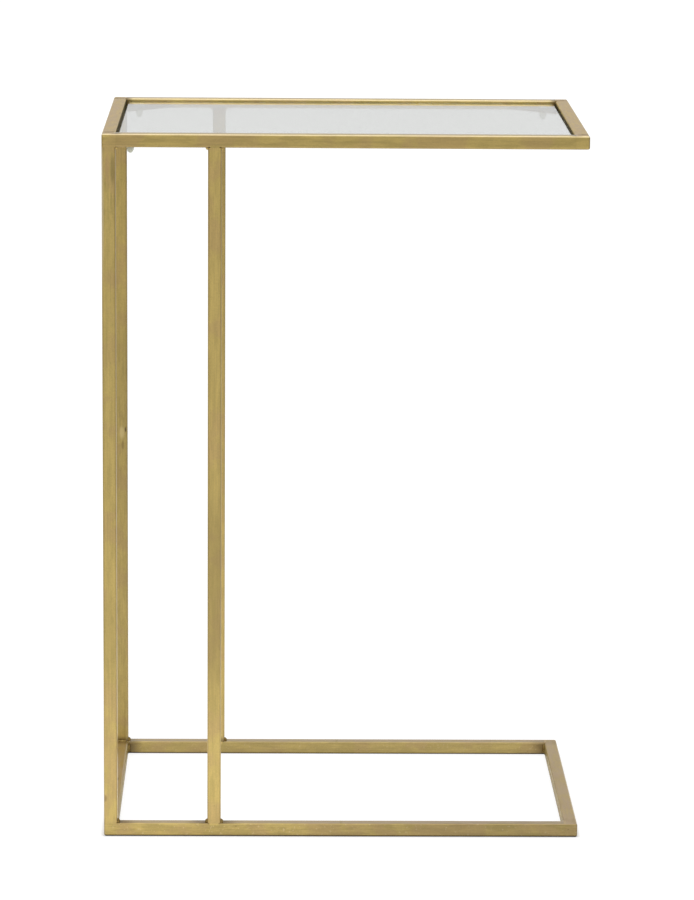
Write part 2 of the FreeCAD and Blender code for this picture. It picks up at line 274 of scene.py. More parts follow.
class NodeBoard:
    """The node tree of one material or of the world, built a node at a time."""

    # How far a rounded edge looks away from every axis, and how much of a mark's reach is full.
    rounded_levels = (0.03, 0.2)
    full_part = 0.35

    def __init__(self, owner: Union[bpy.types.Material, bpy.types.World]) -> None:
        """Start with an empty tree.

        Args:
            owner: The material or world whose tree this is.
        """
        owner.use_nodes = True
        self.tree = owner.node_tree
        self.tree.nodes.clear()

    def add(
        self,
        kind: str,
        settings: dict[str, Any] | None = None,
        inputs: dict[Union[str, int], Input] | None = None,
        output: Union[str, int] = 0,
    ) -> Signal:
        """Add a node, set it up, and then feed its sockets.

        Args:
            kind: The node's type.
            settings: Its properties, such as the operation of a Math node.
            inputs: Numbers, colours, vectors or signals by the socket's place, identifier or name.
            output: The place, identifier or name of the output that is wanted.

        Returns:
            The output, as a signal.
        """
        node = self.tree.nodes.new(kind)
        for name, setting in (settings or {}).items():
            setattr(node, name, setting)
        for key, given in (inputs or {}).items():
            socket = self._socket(node.inputs, key)
            if isinstance(given, Signal):
                self.tree.links.new(given.socket, socket)
            else:
                socket.default_value = given
        return Signal(self, self._socket(node.outputs, output) if len(node.outputs) else None)

    @staticmethod
    def _socket(sockets: Any, key: Union[str, int]) -> bpy.types.NodeSocket:
        """Find a socket by its place, its identifier or its name."""
        by_identifier = {socket.identifier: socket for socket in sockets}
        return by_identifier.get(key) or sockets[key]

    def blend(self, share: Number, first: Input, second: Input) -> Signal:
        """Mix two colours.

        Args:
            share: How much of the second colour there is, from 0 to 1.
            first: The first colour.
            second: The second colour.

        Returns:
            The mixed colour.
        """
        mix = {"data_type": "RGBA", "clamp_factor": True}
        inputs = {"Factor_Float": share, "A_Color": first, "B_Color": second}
        return self.add("ShaderNodeMix", mix, inputs, "Result_Color")

    def layered(self, colour: Input, layers: Sequence[tuple[Number, Colour]]) -> Input:
        """Lay tones over a colour, one after another.

        Args:
            colour: The colour at the bottom.
            layers: How strong each tone is, from 0 to 1, and the tone.

        Returns:
            The colour on top.
        """
        for share, tone in layers:
            colour = self.blend(share, colour, tone)
        return colour

    def tint(self, strength: Number, colour: Input) -> Signal:
        """Multiply a colour by a number, through Vector Math."""
        return self.add("ShaderNodeVectorMath", {"operation": "SCALE"}, {0: colour, "Scale": strength})

    def noise(self, place: Signal, pattern: Pattern, grain: Axis = Axis.X, seed: float = 0.0) -> Signal:
        """Add a noise that has its own frequency along the grain.

        Args:
            place: The point on the surface.
            pattern: The kind of noise.
            grain: The direction of the grain.
            seed: A further shift of the pattern.

        Returns:
            The noise, about its middle level.
        """
        frequency = grain.stretched(pattern.along, pattern.across)
        moved = {"Vector": place, "Location": (seed + pattern.shift,) * 3, "Scale": frequency}
        inputs = {
            "Vector": self.add("ShaderNodeMapping", {}, moved),
            "Scale": 1.0,
            "Detail": pattern.detail,
            "Roughness": pattern.roughness,
        }
        return self.add("ShaderNodeTexNoise", {"noise_dimensions": "3D"}, inputs)

    def part_of(self, vector: Signal, axis: Axis) -> Signal:
        """Take one part of a vector."""
        return self.add("ShaderNodeSeparateXYZ", {}, {0: vector}, axis.value)

    def surface_point(self) -> Signal:
        """Give the point on the surface, in the piece's own coordinates."""
        return self.add("ShaderNodeTexCoord", {}, {}, "Object")

    def looks_along(self, axis: Axis) -> Signal:
        """Tell how far a surface looks along an axis, from -1 to 1."""
        return self.part_of(self.add("ShaderNodeNewGeometry", {}, {}, "Normal"), axis)

    def is_ray(self, kind: str) -> Signal:
        """Tell, as 1 or 0, whether the point is met by a ray of one kind."""
        return self.add("ShaderNodeLightPath", {}, {}, f"Is {kind} Ray")

    def rounded_edge(self) -> Signal:
        """Find the rounded edges, which look along none of the table's three directions."""
        across, along, upright = (abs(self.looks_along(axis)) for axis in Axis)
        return (1.0 - across.larger(along).larger(upright)).fade(*self.rounded_levels)

    def nearness(self, point: Signal, mark: Mark) -> Signal:
        """Find the points near a mark.

        Args:
            point: The point on the surface.
            mark: The mark.

        Returns:
            1 at the mark, and 0 beyond its reach.
        """
        offset = self.add("ShaderNodeVectorMath", {"operation": "SUBTRACT"}, {0: point, 1: mark.place})
        share = self.add("ShaderNodeVectorMath", {"operation": "DIVIDE"}, {0: offset, 1: mark.reach})
        away = self.add("ShaderNodeVectorMath", {"operation": "LENGTH"}, {0: share}, "Value")
        return away.fade(1.0, self.full_part)


@dataclass(frozen=True)
class Finish:
    """What one or more pieces are made of.

    Attributes:
        name: The material's name.
    """

    name: str

    def material(self) -> bpy.types.Material:
        """Build the material.

        Returns:
            The new material.
        """
        made = bpy.data.materials.new(self.name)
        board = NodeBoard(made)
        surface = board.add("ShaderNodeBsdfPrincipled", {}, self.sockets(board))
        board.add("ShaderNodeOutputMaterial", {}, {"Surface": surface})
        return made

    def sockets(self, board: NodeBoard) -> dict[str, Input]:
        """Work out what feeds the shader, which each kind of finish does in its own way."""
        raise NotImplementedError


@dataclass(frozen=True)
class BrushedBrass(Finish):
    """Satin antique brass under a thin lacquer, brushed along a tube and mottled by age, with painted
    highlights and shade laid on it.

    Attributes:
        grain: The direction of the brushing.
        outward: The axis along which the outside face looks away from the table.
        joints: Where along the grain the tube is welded to another, in metres.
        joint_reach: How far the darkening spreads from a joint, on all but the outside face: heat tint and
            painted shade of the inner corner.
        joint_depth: How strong that darkening is at each joint, 1 where none is given.
        base: The main colour.
        mottle_depth: How strong the olive patches are.
        handled_above: The height above the floor from which they are strongest, or 0.
        shade: A factor on the whole colour: below 1 it paints shade over the piece, above 1 it paints
            light.
        drift_start: Where along the grain the finish starts to grow darker or paler.
        drift_end: Where it has changed the most.
        drift_shade: How bright it is there.
        soiled_below: The height above the floor up to which the painted contact shade reaches, in metres.
        inner_grime: How much painted shade there is on the faces that look into the table.
        grimy_below: The height up to which it reaches.
        edge_wear: How strong the painted highlight is on the rounded upper edges, which stands in for the
            overhead light that they mirror.
        edge_patina: How dark the painted shade is on the other rounded edges, which look down or sideways
            and mirror the darker floor and sides.
        coat: How thick the lacquer is.
        dust: How much fine dust lies on the faces that look up, together with a painted dull reflection of
            those faces at a low angle.
        dust_from: How far from the table's middle the dust and painted sheen start.
        bare_joints: How free of dust and painted sheen the darkened joints are.
        flecks: How strong the small pale flecks are.
        marks: Small knocks and stains.
        seed: The shift of the patterns.
    """

    grain: Axis
    outward: Axis = Axis.Y
    joints: tuple[float, ...] = ()
    joint_reach: float = 0.012
    joint_depth: tuple[float, ...] = ()
    base: Colour = GOLD
    mottle_depth: float = 0.9
    handled_above: float = 0.0
    shade: float = 1.0
    drift_start: float = 0.0
    drift_end: float = 1.0
    drift_shade: float = 1.0
    soiled_below: float = 0.0
    inner_grime: float = 0.0
    grimy_below: float = 1.0
    edge_wear: float = 0.35
    edge_patina: float = 0.6
    coat: float = 0.9
    dust: float = 0.0
    dust_from: float = 0.0
    bare_joints: float = 0.0
    flecks: float = 0.0
    marks: tuple[Mark, ...] = ()
    seed: float = 0.0

    # The fine and coarse lines of the brush, the mottling, its clouds, specks and grit, in this order.
    patterns = (
        Pattern(60.0, 3800.0, 2.0, 0.0),
        Pattern(16.0, 950.0, 2.0, 3.0),
        Pattern(42.0, 250.0, 4.0, 7.0, 0.6),
        Pattern(34.0, 34.0, 3.0, 11.0),
        Pattern(420.0, 420.0, 2.0, 17.0, 0.4),
        Pattern(620.0, 620.0, 3.0, 23.0, 0.6),
    )
    # The levels of its pattern between which a tone comes in, and how strong it then is.
    olive_levels = (0.42, 0.60)
    rose_levels, rose_depth = (0.48, 0.62), 0.5
    stain_levels, stained_patches, stain_depth = (0.72, 0.80), (0.45, 0.6), 0.6
    fleck_levels = (0.36, 0.28)
    dust_levels, least_dust = (0.4, 0.58), 0.4
    heat_depth = 0.85
    # How far a face looks up where it gets the painted highlight or the dust and painted sheen, and inwards
    # where it gets painted shade or the joint darkening.
    polished_slope, dusty_slope = (0.1, 0.4), (0.7, 0.95)
    dirty_slope, tinted_slope, outside_tint = (0.55, 0.95), (-0.8, -0.35), 0.08
    # How far the lines and the grit change the brightness, and the lines, patches, joint darkening and
    # painted shade the gloss.
    fine_streak, coarse_streak, grit_streak = 0.12, 0.34, 0.30
    coarse_gloss, mottle_gloss, heat_gloss, grime_gloss = 0.12, 0.10, 0.15, 0.4
    roughness, roughest = 0.38, 0.9
    fine_relief, coarse_relief = 0.35, 0.65
    line_bump = {"Strength": 0.35, "Distance": 0.00004}
    wave_bump = {"Strength": 0.3, "Distance": 0.0002}
    metal, grime_over_metal, dust_over_metal, least_metal = 0.85, 0.75, 0.6, 0.1
    coat_roughness = 0.22
    # Over what length the dust and painted sheen, the stronger olive near a leg's head and the painted
    # shade on the inner faces set in.
    dust_edge, handled_edge, grimy_edge = 2.0 * MILLIMETRE, 50.0 * MILLIMETRE, 0.8 * MILLIMETRE
    soil_core, soil_depth = 0.35, 0.85
    tint_fray, tint_falloff = 0.6, 0.7

    def sockets(self, board: NodeBoard) -> dict[str, Input]:
        """Work out what feeds the shader.

        Args:
            board: The material's board.

        Returns:
            Numbers, colours or signals by the socket's name.
        """
        point = board.surface_point()
        noises = [board.noise(point, pattern, self.grain, self.seed) for pattern in self.patterns]
        fine, coarse, mottle, cloud, speck, grit = noises
        along = board.part_of(point, self.grain)
        height = board.part_of(point, Axis.Z)
        inward = board.looks_along(self.outward) * board.part_of(point, self.outward).sign() * -1.0
        heat = self._heat(along, mottle) * inward.fade(*self.tinted_slope, self.outside_tint, 1.0)
        grime = self._grime(height, inward)
        stain = speck.fade(*self.stain_levels) * mottle.fade(*self.stained_patches)
        edge = board.rounded_edge()
        upward = board.looks_along(Axis.Z)
        upper = upward.fade(*self.polished_slope)
        thick = mottle.fade(*self.dust_levels, self.dust * self.least_dust, self.dust)
        dusty = upward.fade(*self.dusty_slope) * thick
        aside = abs(board.part_of(point, Axis.X))
        dusty = dusty * aside.fade(self.dust_from, self.dust_from + self.dust_edge)

        olive_depth = self.mottle_depth
        # The olive patches grow stronger above a given height, darkening the leg near its head.
        if self.handled_above:
            full = self.handled_above + self.handled_edge
            olive_depth = height.fade(self.handled_above, full, self.mottle_depth, 1.0)
        aged = board.layered(
            self.base,
            [
                (mottle.fade(*self.olive_levels) * olive_depth, OLIVE),
                (cloud.fade(*self.rose_levels) * self.rose_depth, ROSE),
                # Painted highlight on the rounded edges that look up, painted shade on those that look down
                # or sideways.
                (edge * upper * self.edge_wear, WORN),
                (edge * (1.0 - upper) * self.edge_patina, PATINA),
                (heat * self.heat_depth, HEAT_BROWN),
                (stain * self.stain_depth, STAIN_BROWN),
                (speck.fade(*self.fleck_levels) * self.flecks, FLECK),
            ],
        )
        streaks = 1.0 + (coarse - MIDDLE) * self.coarse_streak + (fine - MIDDLE) * self.fine_streak
        streaks = streaks + (grit - MIDDLE) * self.grit_streak
        drift = along.fade(self.drift_start, self.drift_end, self.shade, self.shade * self.drift_shade)
        layers = [(dusty * (1.0 - heat * self.bare_joints), DUST)]
        for mark in self.marks:
            layers.append((board.nearness(point, mark) * mark.depth, mark.tone))
        layers.append((grime, GRIME))

        rough = self.roughness + (coarse - MIDDLE) * self.coarse_gloss
        rough = rough + (mottle - MIDDLE) * self.mottle_gloss
        rough = (rough + heat * self.heat_gloss + grime * self.grime_gloss).smaller(self.roughest)
        relief = fine * self.fine_relief + coarse * self.coarse_relief
        lines = board.add("ShaderNodeBump", {}, {**self.line_bump, "Height": relief})
        metal = self.metal - grime * self.grime_over_metal - dusty * self.dust_over_metal
        return {
            "Base Color": board.layered(board.tint(streaks * drift, aged), layers),
            "Metallic": metal.larger(self.least_metal),
            "Roughness": rough,
            "Specular Tint": BRASS_GRAZING_TINT,
            "Coat Weight": self.coat * (1.0 - grime),
            "Coat Roughness": self.coat_roughness,
            "Normal": board.add("ShaderNodeBump", {}, {**self.wave_bump, "Height": cloud, "Normal": lines}),
        }

    def _grime(self, height: Signal, inward: Signal) -> Signal:
        """Paint shade along the floor and on the faces that look into the table.

        Args:
            height: The height above the floor.
            inward: How far the face looks into the table.

        Returns:
            The share of painted shade, from 0 to 1.
        """
        dirty = height.fade(self.grimy_below, self.grimy_below - self.grimy_edge, 0.0, self.inner_grime)
        grime = inward.fade(*self.dirty_slope) * dirty
        if self.soiled_below:
            soil = height.fade(self.soiled_below, self.soil_core * self.soiled_below)
            grime = grime.larger(soil * self.soil_depth)
        return grime

    def _heat(self, along: Signal, mottle: Signal) -> Signal:
        """Darken the tube near its joints: heat tint, and painted shade of the inner corners there.

        Args:
            along: The place along the grain.
            mottle: An uneven pattern, which frays the tint's edge.

        Returns:
            The share of that darkening, from 0 to 1.
        """
        heat: Number = 0.0
        depths = self.joint_depth or (1.0,) * len(self.joints)
        for joint, depth in zip(self.joints, depths):
            near = abs(along - joint) + (mottle - MIDDLE) * self.joint_reach * self.tint_fray
            heat = (near.fade(self.joint_reach, 0.0) ** self.tint_falloff * depth).larger(heat)
        return heat if isinstance(heat, Signal) else mottle * 0.0


@dataclass(frozen=True)
class WeldBrass(Finish):
    """Weld metal under the same brass finish, in random patches of two tones; the default tones are dark in
    part for patina and in part as painted shade of the corners.

    Attributes:
        hollow: The darker tone.
        crest: The lighter tone.
        roughness: The gloss of the finish.
    """

    hollow: Colour = WELD_BROWN
    crest: Colour = WELD_CREST
    roughness: float = 0.42

    # The patches of colour and the grit, and how far the grit changes the brightness and the gloss.
    patch = Pattern(420.0, 420.0, 3.0, 0.7)
    grit = Pattern(2400.0, 2400.0, 2.0, 2.1)
    crest_levels = (0.36, 0.64)
    grit_streak, grit_gloss = 0.3, 0.2
    grit_bump = {"Strength": 0.5, "Distance": 0.00006}

    def sockets(self, board: NodeBoard) -> dict[str, Input]:
        """Work out what feeds the shader.

        Args:
            board: The material's board.

        Returns:
            Numbers, colours or signals by the socket's name.
        """
        point = board.surface_point()
        patch = board.noise(point, self.patch)
        grit = board.noise(point, self.grit)
        colour = board.blend(patch.fade(*self.crest_levels), self.hollow, self.crest)
        return {
            "Base Color": board.tint(1.0 + (grit - MIDDLE) * self.grit_streak, colour),
            "Metallic": 1.0,
            "Roughness": self.roughness + (grit - MIDDLE) * self.grit_gloss,
            "Specular Tint": BRASS_GRAZING_TINT,
            "Normal": board.add("ShaderNodeBump", {}, {**self.grit_bump, "Height": grit}),
        }


@dataclass(frozen=True)
class ClearGlass(Finish):
    """Clear float glass with ground edges.

    Attributes:
        body: The colour that the glass gives to what is seen through it.
        index: The index of refraction.
        film: How much of a thin film of polish there is, which shows at a low angle.
        film_roughness: The gloss of that film.
        edge_slope: How far a face looks up where it is clear, and where it is ground.
        edge_roughness: The gloss of the ground edges.
    """

    body: Colour = GLASS_WHITE
    index: float = 1.5
    film: float = 0.5
    film_roughness: float = 0.05
    edge_slope: tuple[float, float] = (0.97, 0.8)
    edge_roughness: float = 0.35

    def sockets(self, board: NodeBoard) -> dict[str, Input]:
        """Work out what feeds the shader.

        Args:
            board: The material's board.

        Returns:
            Numbers, colours or signals by the socket's name.
        """
        ground = abs(board.looks_along(Axis.Z)).fade(*self.edge_slope)
        return {
            "Base Color": board.blend(ground, self.body, EDGE_GREEN),
            "Roughness": ground * self.edge_roughness,
            "IOR": self.index,
            "Transmission Weight": 1.0,
            "Coat Weight": self.film,
            "Coat Roughness": self.film_roughness,
        }


@dataclass(frozen=True)
class ClearVinyl(Finish):
    """Clear soft vinyl, a little cloudy.

    Attributes:
        roughness: The gloss of its moulded skin.
        unevenness: How far the gloss changes over it.
        index: The index of refraction.
        clearness: How much light goes through.
    """

    roughness: float = 0.22
    unevenness: float = 0.1
    index: float = 1.48
    clearness: float = 0.15

    haze = Pattern(350.0, 350.0, 2.0, 0.0)

    def sockets(self, board: NodeBoard) -> dict[str, Input]:
        """Work out what feeds the shader.

        Args:
            board: The material's board.

        Returns:
            Numbers, colours or signals by the socket's name.
        """
        haze = board.noise(board.surface_point(), self.haze)
        return {
            "Base Color": board.blend(haze, VINYL, VINYL_HAZE),
            "Roughness": self.roughness + (haze - MIDDLE) * self.unevenness,
            "IOR": self.index,
            "Transmission Weight": self.clearness,
        }


def place(name: str, data: bpy.types.ID, spot: Sequence[float] = (0.0, 0.0, 0.0)) -> bpy.types.Object:
    """Place a mesh, a lamp or a camera in the scene.

    Args:
        name: The name of the object.
        data: What it shows.
        spot: Where it stands.

    Returns:
        The new object.
    """
    made = bpy.data.objects.new(name, data)
    made.location = spot
    bpy.context.scene.collection.objects.link(made)
    return made


class Piece:
    """A mesh under construction, which becomes one object of the scene."""

    def __init__(self, name: str) -> None:
        """Start an empty mesh for the piece of that name."""
        self.name = name
        self.mesh = bmesh.new()

    def loft(self, rings: Sequence[Sequence[Vector]]) -> None:
        """Skin a row of closed rings and close both ends.

        Args:
            rings: Rings with the same number of points each.
        """
        rows = [[self.mesh.verts.new(point) for point in ring] for ring in rings]
        count = len(rows[0])
        for low, high in zip(rows, rows[1:]):
            for index in range(count):
                after = (index + 1) % count
                self.mesh.faces.new((low[index], low[after], high[after], high[index]))
        self.mesh.faces.new(rows[0][::-1])
        self.mesh.faces.new(rows[-1])

    def finish(self, material: bpy.types.Material, body: str, node: str) -> None:
        """Turn the mesh into an object that rides on a body and stands for a CAD node.

        Args:
            material: What it is made of.
            body: The CAD body that carries it.
            node: The CAD node that it stands for.
        """
        bmesh.ops.recalc_face_normals(self.mesh, faces=self.mesh.faces)
        data = bpy.data.meshes.new(self.name)
        self.mesh.to_mesh(data)
        self.mesh.free()
        data.materials.append(material)
        made = place(self.name, data)
        data.shade_smooth()
        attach(made, body)
        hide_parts(node)
        log.info("%s: %d faces, rides on %s", self.name, len(data.polygons), body)


def dress(node: str, material: bpy.types.Material) -> None:
    """Give a CAD node its finish.

    Args:
        node: The node's name.
        material: What it is made of.
    """
    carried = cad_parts[node]
    carried.data.materials.clear()
    carried.data.materials.append(material)
    log.info("%s: dressed in %s", node, material.name)


# How a leg's finish differs from that of the others.
LEG_LOOKS: dict[str, dict[str, Any]] = {
    "front_outer_leg": {
        "handled_above": 0.57,
        "marks": (
            Mark((-0.2243, -0.155, 0.0372), (0.0032, 0.004, 0.0045), KNOCKED, 0.8),
            Mark((-0.2115, -0.154, 0.6555), (0.0012, 0.003, 0.0016), PITTED, 0.8),
            Mark((-0.2187, -0.149, 0.192), (0.05, 0.05, 0.055), TARNISH, 0.2),
            Mark((-0.2150, -0.155, 0.6370), (0.0028, 0.004, 0.0200), OLIVE_RUN, 0.5),
            Mark((-0.2196, -0.155, 0.6400), (0.0024, 0.004, 0.0200), ROSE_RUN, 0.4),
            # A painted highlight along the upper part of the leg's outer left edge.
            Mark((-0.2243, -0.154, 0.6000), (0.0016, 0.004, 0.0900), WORN, 0.6),
        ),
    },
    "front_inner_leg": {
        "shade": 1.03,
        "marks": (Mark((-0.1207, -0.149, 0.233), (0.1, 0.1, 0.14), TARNISH, 0.45),),
    },
    "back_outer_leg": {
        # Painted shade, where the front leg keeps light off this leg, and painted light again towards its
        # head.
        "shade": 0.77,
        "drift_shade": 1.27,
        "marks": (
            # A dent painted in: a painted highlight on its rim, a dark line in its crease and painted shade
            # at its foot.
            Mark((-0.2178, 0.1423, 0.3334), (0.0034, 0.003, 0.0085), DENT_RIM, 0.7),
            Mark((-0.2142, 0.1423, 0.3364), (0.0012, 0.003, 0.0036), STAIN_BROWN, 0.9),
            Mark((-0.2170, 0.1423, 0.3205), (0.0020, 0.003, 0.0060), DENT_FOOT, 0.6),
        ),
    },
}


@dataclass
class TubeFrame:
    """The welded frame of square tube: two flat rectangles and four legs.

    Attributes:
        soiled_height: How high above the floor the painted contact shade reaches.
        dust: How much dust and painted dull reflection there is on the faces that look up.
        grimy_heights: How high the painted shade reaches on the inner faces of the top's side rails, in the
            slot by the pane.
    """

    soiled_height: float = 2.2 * MILLIMETRE
    dust: float = 0.6
    grimy_heights: dict[str, float] = field(default_factory=lambda: {"left": 0.6695, "right": 0.6680})

    def build(self) -> None:
        """Dress all the tubes and the caps of the side rails."""
        self._dress_cross_rails()
        self._dress_side_rails()
        self._dress_legs()

    def _dress_cross_rails(self) -> None:
        """Brush the front and back rails and the caps in line with them along X."""
        low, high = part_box("base_front_rail")
        leg_low, leg_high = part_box("front_inner_leg")
        top = BrushedBrass(
            "brass_top_cross", Axis.X, joints=(low.x, high.x), joint_reach=0.007,
            mottle_depth=0.7, edge_wear=0.7, dust=self.dust, dust_from=high.x - MILLIMETRE,
        )
        base = BrushedBrass(
            "brass_base_front", Axis.X, joints=(low.x, leg_low.x, leg_high.x), joint_reach=0.022,
            mottle_depth=0.8, shade=0.95, drift_start=-0.20, drift_end=0.16, drift_shade=0.60,
            soiled_below=self.soiled_height, edge_wear=0.0, dust=self.dust, bare_joints=1.0,
            flecks=0.5, seed=0.4,
        )
        base_back = replace(
            base, name="brass_base_back", joints=(low.x, high.x), joint_reach=0.015,
            joint_depth=(0.85, 0.5), mottle_depth=0.6, shade=0.72, drift_start=-0.09,
            drift_end=-0.14, drift_shade=1.11, edge_wear=0.1, bare_joints=0.8, flecks=0.3, seed=0.9,
        )
        rails = {
            "top_front": replace(top, name="brass_top_front", shade=0.93),
            "top_back": top,
            "base_front": base,
            "base_back": base_back,
        }
        made = {brass.name: brass.material() for brass in rails.values()}
        for end in INWARD:
            for level in LEVELS:
                rail = rails[f"{level}_{end}"]
                cap = top if level == "top" else rail
                dress(f"{level}_{end}_rail", made[rail.name])
                for side in SIDES:
                    dress(f"{level}_{side}_{end}_cap", made[cap.name])

    def _dress_side_rails(self) -> None:
        """Brush the side rails along Y; the top ones get painted shade where they face the pane's edge."""
        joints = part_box("base_front_rail")[1].y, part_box("base_back_rail")[0].y
        scratch = Mark((-0.2178, 0.0004, 0.0127), (0.0013, 0.0080, 0.003), depth=0.85)
        base = BrushedBrass(
            "brass_base_sides", Axis.Y, Axis.X, joints, joint_depth=(0.3, 0.4),
            soiled_below=self.soiled_height, inner_grime=0.3, shade=0.80, edge_wear=0.0, coat=0.6,
            dust=self.dust, marks=(scratch,),
        )
        made = base.material()
        for side in SIDES:
            dress(f"base_{side}_rail", made)
            top = BrushedBrass(
                f"brass_top_{side}", Axis.Y, Axis.X, joints, joint_reach=0.007, inner_grime=0.9,
                shade=0.98, grimy_below=self.grimy_heights[side], coat=0.3, dust=self.dust, seed=1.3,
            )
            dress(f"top_{side}_rail", top.material())

    def _dress_legs(self) -> None:
        """Brush the legs along Z, darkened at their feet and a little at their heads by heat tint and
        painted corner shade.
        """
        low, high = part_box("front_outer_leg")
        leg = BrushedBrass(
            "brass_leg", Axis.Z, joints=(low.z, high.z), joint_reach=0.006, joint_depth=(0.9, 0.3),
            edge_patina=0.35, mottle_depth=0.45, drift_start=0.36, drift_end=0.54,
        )
        for end in INWARD:
            for row in ("outer", "inner"):
                name = f"{end}_{row}_leg"
                brass = replace(leg, name=f"brass_{name}", **LEG_LOOKS.get(name, {}))
                dress(name, brass.material())


@dataclass(frozen=True)
class WeldBead:
    """One convex bead in an inner corner.

    Attributes:
        start: One end of the corner's line.
        run: The way that the bead runs, as a unit vector.
        length: The length of the bead.
        first: The way along the first of the two faces, as a unit vector.
        second: The way along the second face, as a unit vector.
        radius: The size of the bead.
    """

    start: Vector
    run: Vector
    length: float
    first: Vector
    second: Vector
    radius: float

    # The ripples: their length and depth, how uneven they are, and how far their middles trail.
    ripple_pitch, ripple_depth = 1.15 * MILLIMETRE, 0.11
    least_ripples, unsteadiness, lag_share = 3, 0.09, 0.35
    # How far the bead sinks into the faces, and over what length its ends swell, from what size.
    sunk_degrees, sunk_share = 3.0, 0.06
    end_rounding, end_size = 1.1 * MILLIMETRE, 0.25
    steps_to_a_ripple, arc_steps = 5, 10

    def rings(self, hand: random.Random) -> list[list[Vector]]:
        """Work out the rings of the bead's skin.

        Args:
            hand: The unsteadiness of the welder's hand.

        Returns:
            The rings, from one end of the bead to the other.
        """
        ripples = max(self.least_ripples, round(self.length / self.ripple_pitch))
        swells = [1.0 - self.unsteadiness * hand.random() for _ in range(ripples + 2)]
        count = ripples * self.steps_to_a_ripple
        return [self._ring(self.length * step / count, swells) for step in range(count + 1)]

    def _ring(self, along: float, swells: Sequence[float]) -> list[Vector]:
        """Work out one ring.

        Args:
            along: The place along the bead.
            swells: The size of each ripple, as a share of the bead's.

        Returns:
            The points of the ring: the skin's arc and the point in the corner.
        """
        to_end = min(1.0, min(along, self.length - along) / self.end_rounding)
        taper = self.end_size + (1.0 - self.end_size) * math.sqrt(max(0.0, 1.0 - (1.0 - to_end) ** 2))
        middle = self.start + self.run * along
        ring = []
        for step in range(self.arc_steps + 1):
            share = step / self.arc_steps
            angle = math.radians(-self.sunk_degrees + (90.0 + 2.0 * self.sunk_degrees) * share)
            lag = self.lag_share * self.ripple_pitch * (1.0 - math.cos(2.0 * math.pi * share)) / 2.0
            phase = (along + lag) / self.ripple_pitch
            index = min(int(phase), len(swells) - 1)
            crest = 1.0 - self.ripple_depth * (2.0 * (phase - int(phase)) - 1.0) ** 2
            reach = self.radius * swells[index] * crest * taper
            offset = self.first * math.cos(angle) + self.second * math.sin(angle)
            ring.append(middle + offset * reach)
        ring.append(middle - (self.first + self.second) * (self.radius * self.sunk_share))
        return ring


@dataclass
class WeldWork:
    """The welds: sculpted beads in the inner corners, and seams ground flush.

    Attributes:
        corner: The corner radius of the tube.
        radius: The size of a bead.
        seed: The start of the welder's hand.
    """

    corner: float = 2.0 * MILLIMETRE
    radius: float = 2.4 * MILLIMETRE
    seed: int = 41

    def build(self) -> None:
        """Lay the beads and dress the seams."""
        beads = WeldBrass("weld_brass").material()
        pale_beads = WeldBrass("weld_brass_heads", HEAD_WELD_HOLLOW, HEAD_WELD_CREST).material()
        hand = random.Random(self.seed)
        groups = {
            "leg_foot_weld_beads": ("leg_foot_beads", self._leg_beads(True)),
            "leg_head_weld_beads": ("leg_head_beads", self._leg_beads(False)),
            "base_corner_weld_beads": ("base_corner_beads", self._corner_beads()),
        }
        for name, (node, laid) in groups.items():
            piece = Piece(name)
            for bead in laid:
                piece.loft(bead.rings(hand))
            metal = pale_beads if node == "leg_head_beads" else beads
            piece.finish(metal, "frame", node)
        ground = BrushedBrass("ground_seam_brass", Axis.X, seed=0.4).material()
        # The flush seams take the dust and the painted dull reflection of the faces round them.
        dusty = BrushedBrass("dusty_seam_brass", Axis.X, coat=0.6, dust=0.6, shade=0.9, seed=0.4).material()
        dress("base_seam_welds", dusty)
        dress("top_seam_welds", dusty)
        dress("leg_seam_welds", ground)

    def _leg_beads(self, at_foot: bool) -> list[WeldBead]:
        """Lay the beads round one end of each leg.

        Args:
            at_foot: True at the feet, False at the heads.

        Returns:
            The beads.
        """
        beads = []
        up = Axis.Z.unit(1.0 if at_foot else -1.0)
        for end, inward in INWARD.items():
            outer_low, outer_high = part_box(f"{end}_outer_leg")
            inner_low, inner_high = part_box(f"{end}_inner_leg")
            z = outer_low.z if at_foot else outer_high.z
            length = outer_high.x - outer_low.x - 2 * self.corner
            edge_y = outer_high.y if inward > 0 else outer_low.y
            start_y = outer_low.y + self.corner
            start = Vector((outer_low.x + self.corner, edge_y, z))
            beads.append(WeldBead(start, Axis.X.unit(), length, Axis.Y.unit(inward), up, self.radius))
            for x, way in ((outer_high.x, 1.0), (inner_low.x, -1.0), (inner_high.x, 1.0)):
                start = Vector((x, start_y, z))
                beads.append(WeldBead(start, Axis.Y.unit(), length, Axis.X.unit(way), up, self.radius))
        return beads

    def _corner_beads(self) -> list[WeldBead]:
        """Lay the upright beads in the base's inner corners.

        Returns:
            The beads.
        """
        beads = []
        for end, inward_y in INWARD.items():
            low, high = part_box(f"base_{end}_rail")
            edge_y = high.y if inward_y > 0 else low.y
            length = high.z - low.z - 2 * self.corner
            for x, inward_x in ((low.x, 1.0), (high.x, -1.0)):
                start = Vector((x, edge_y, low.z + self.corner))
                ways = Axis.X.unit(inward_x), Axis.Y.unit(inward_y)
                beads.append(WeldBead(start, Axis.Z.unit(), length, *ways, self.radius))
        return beads


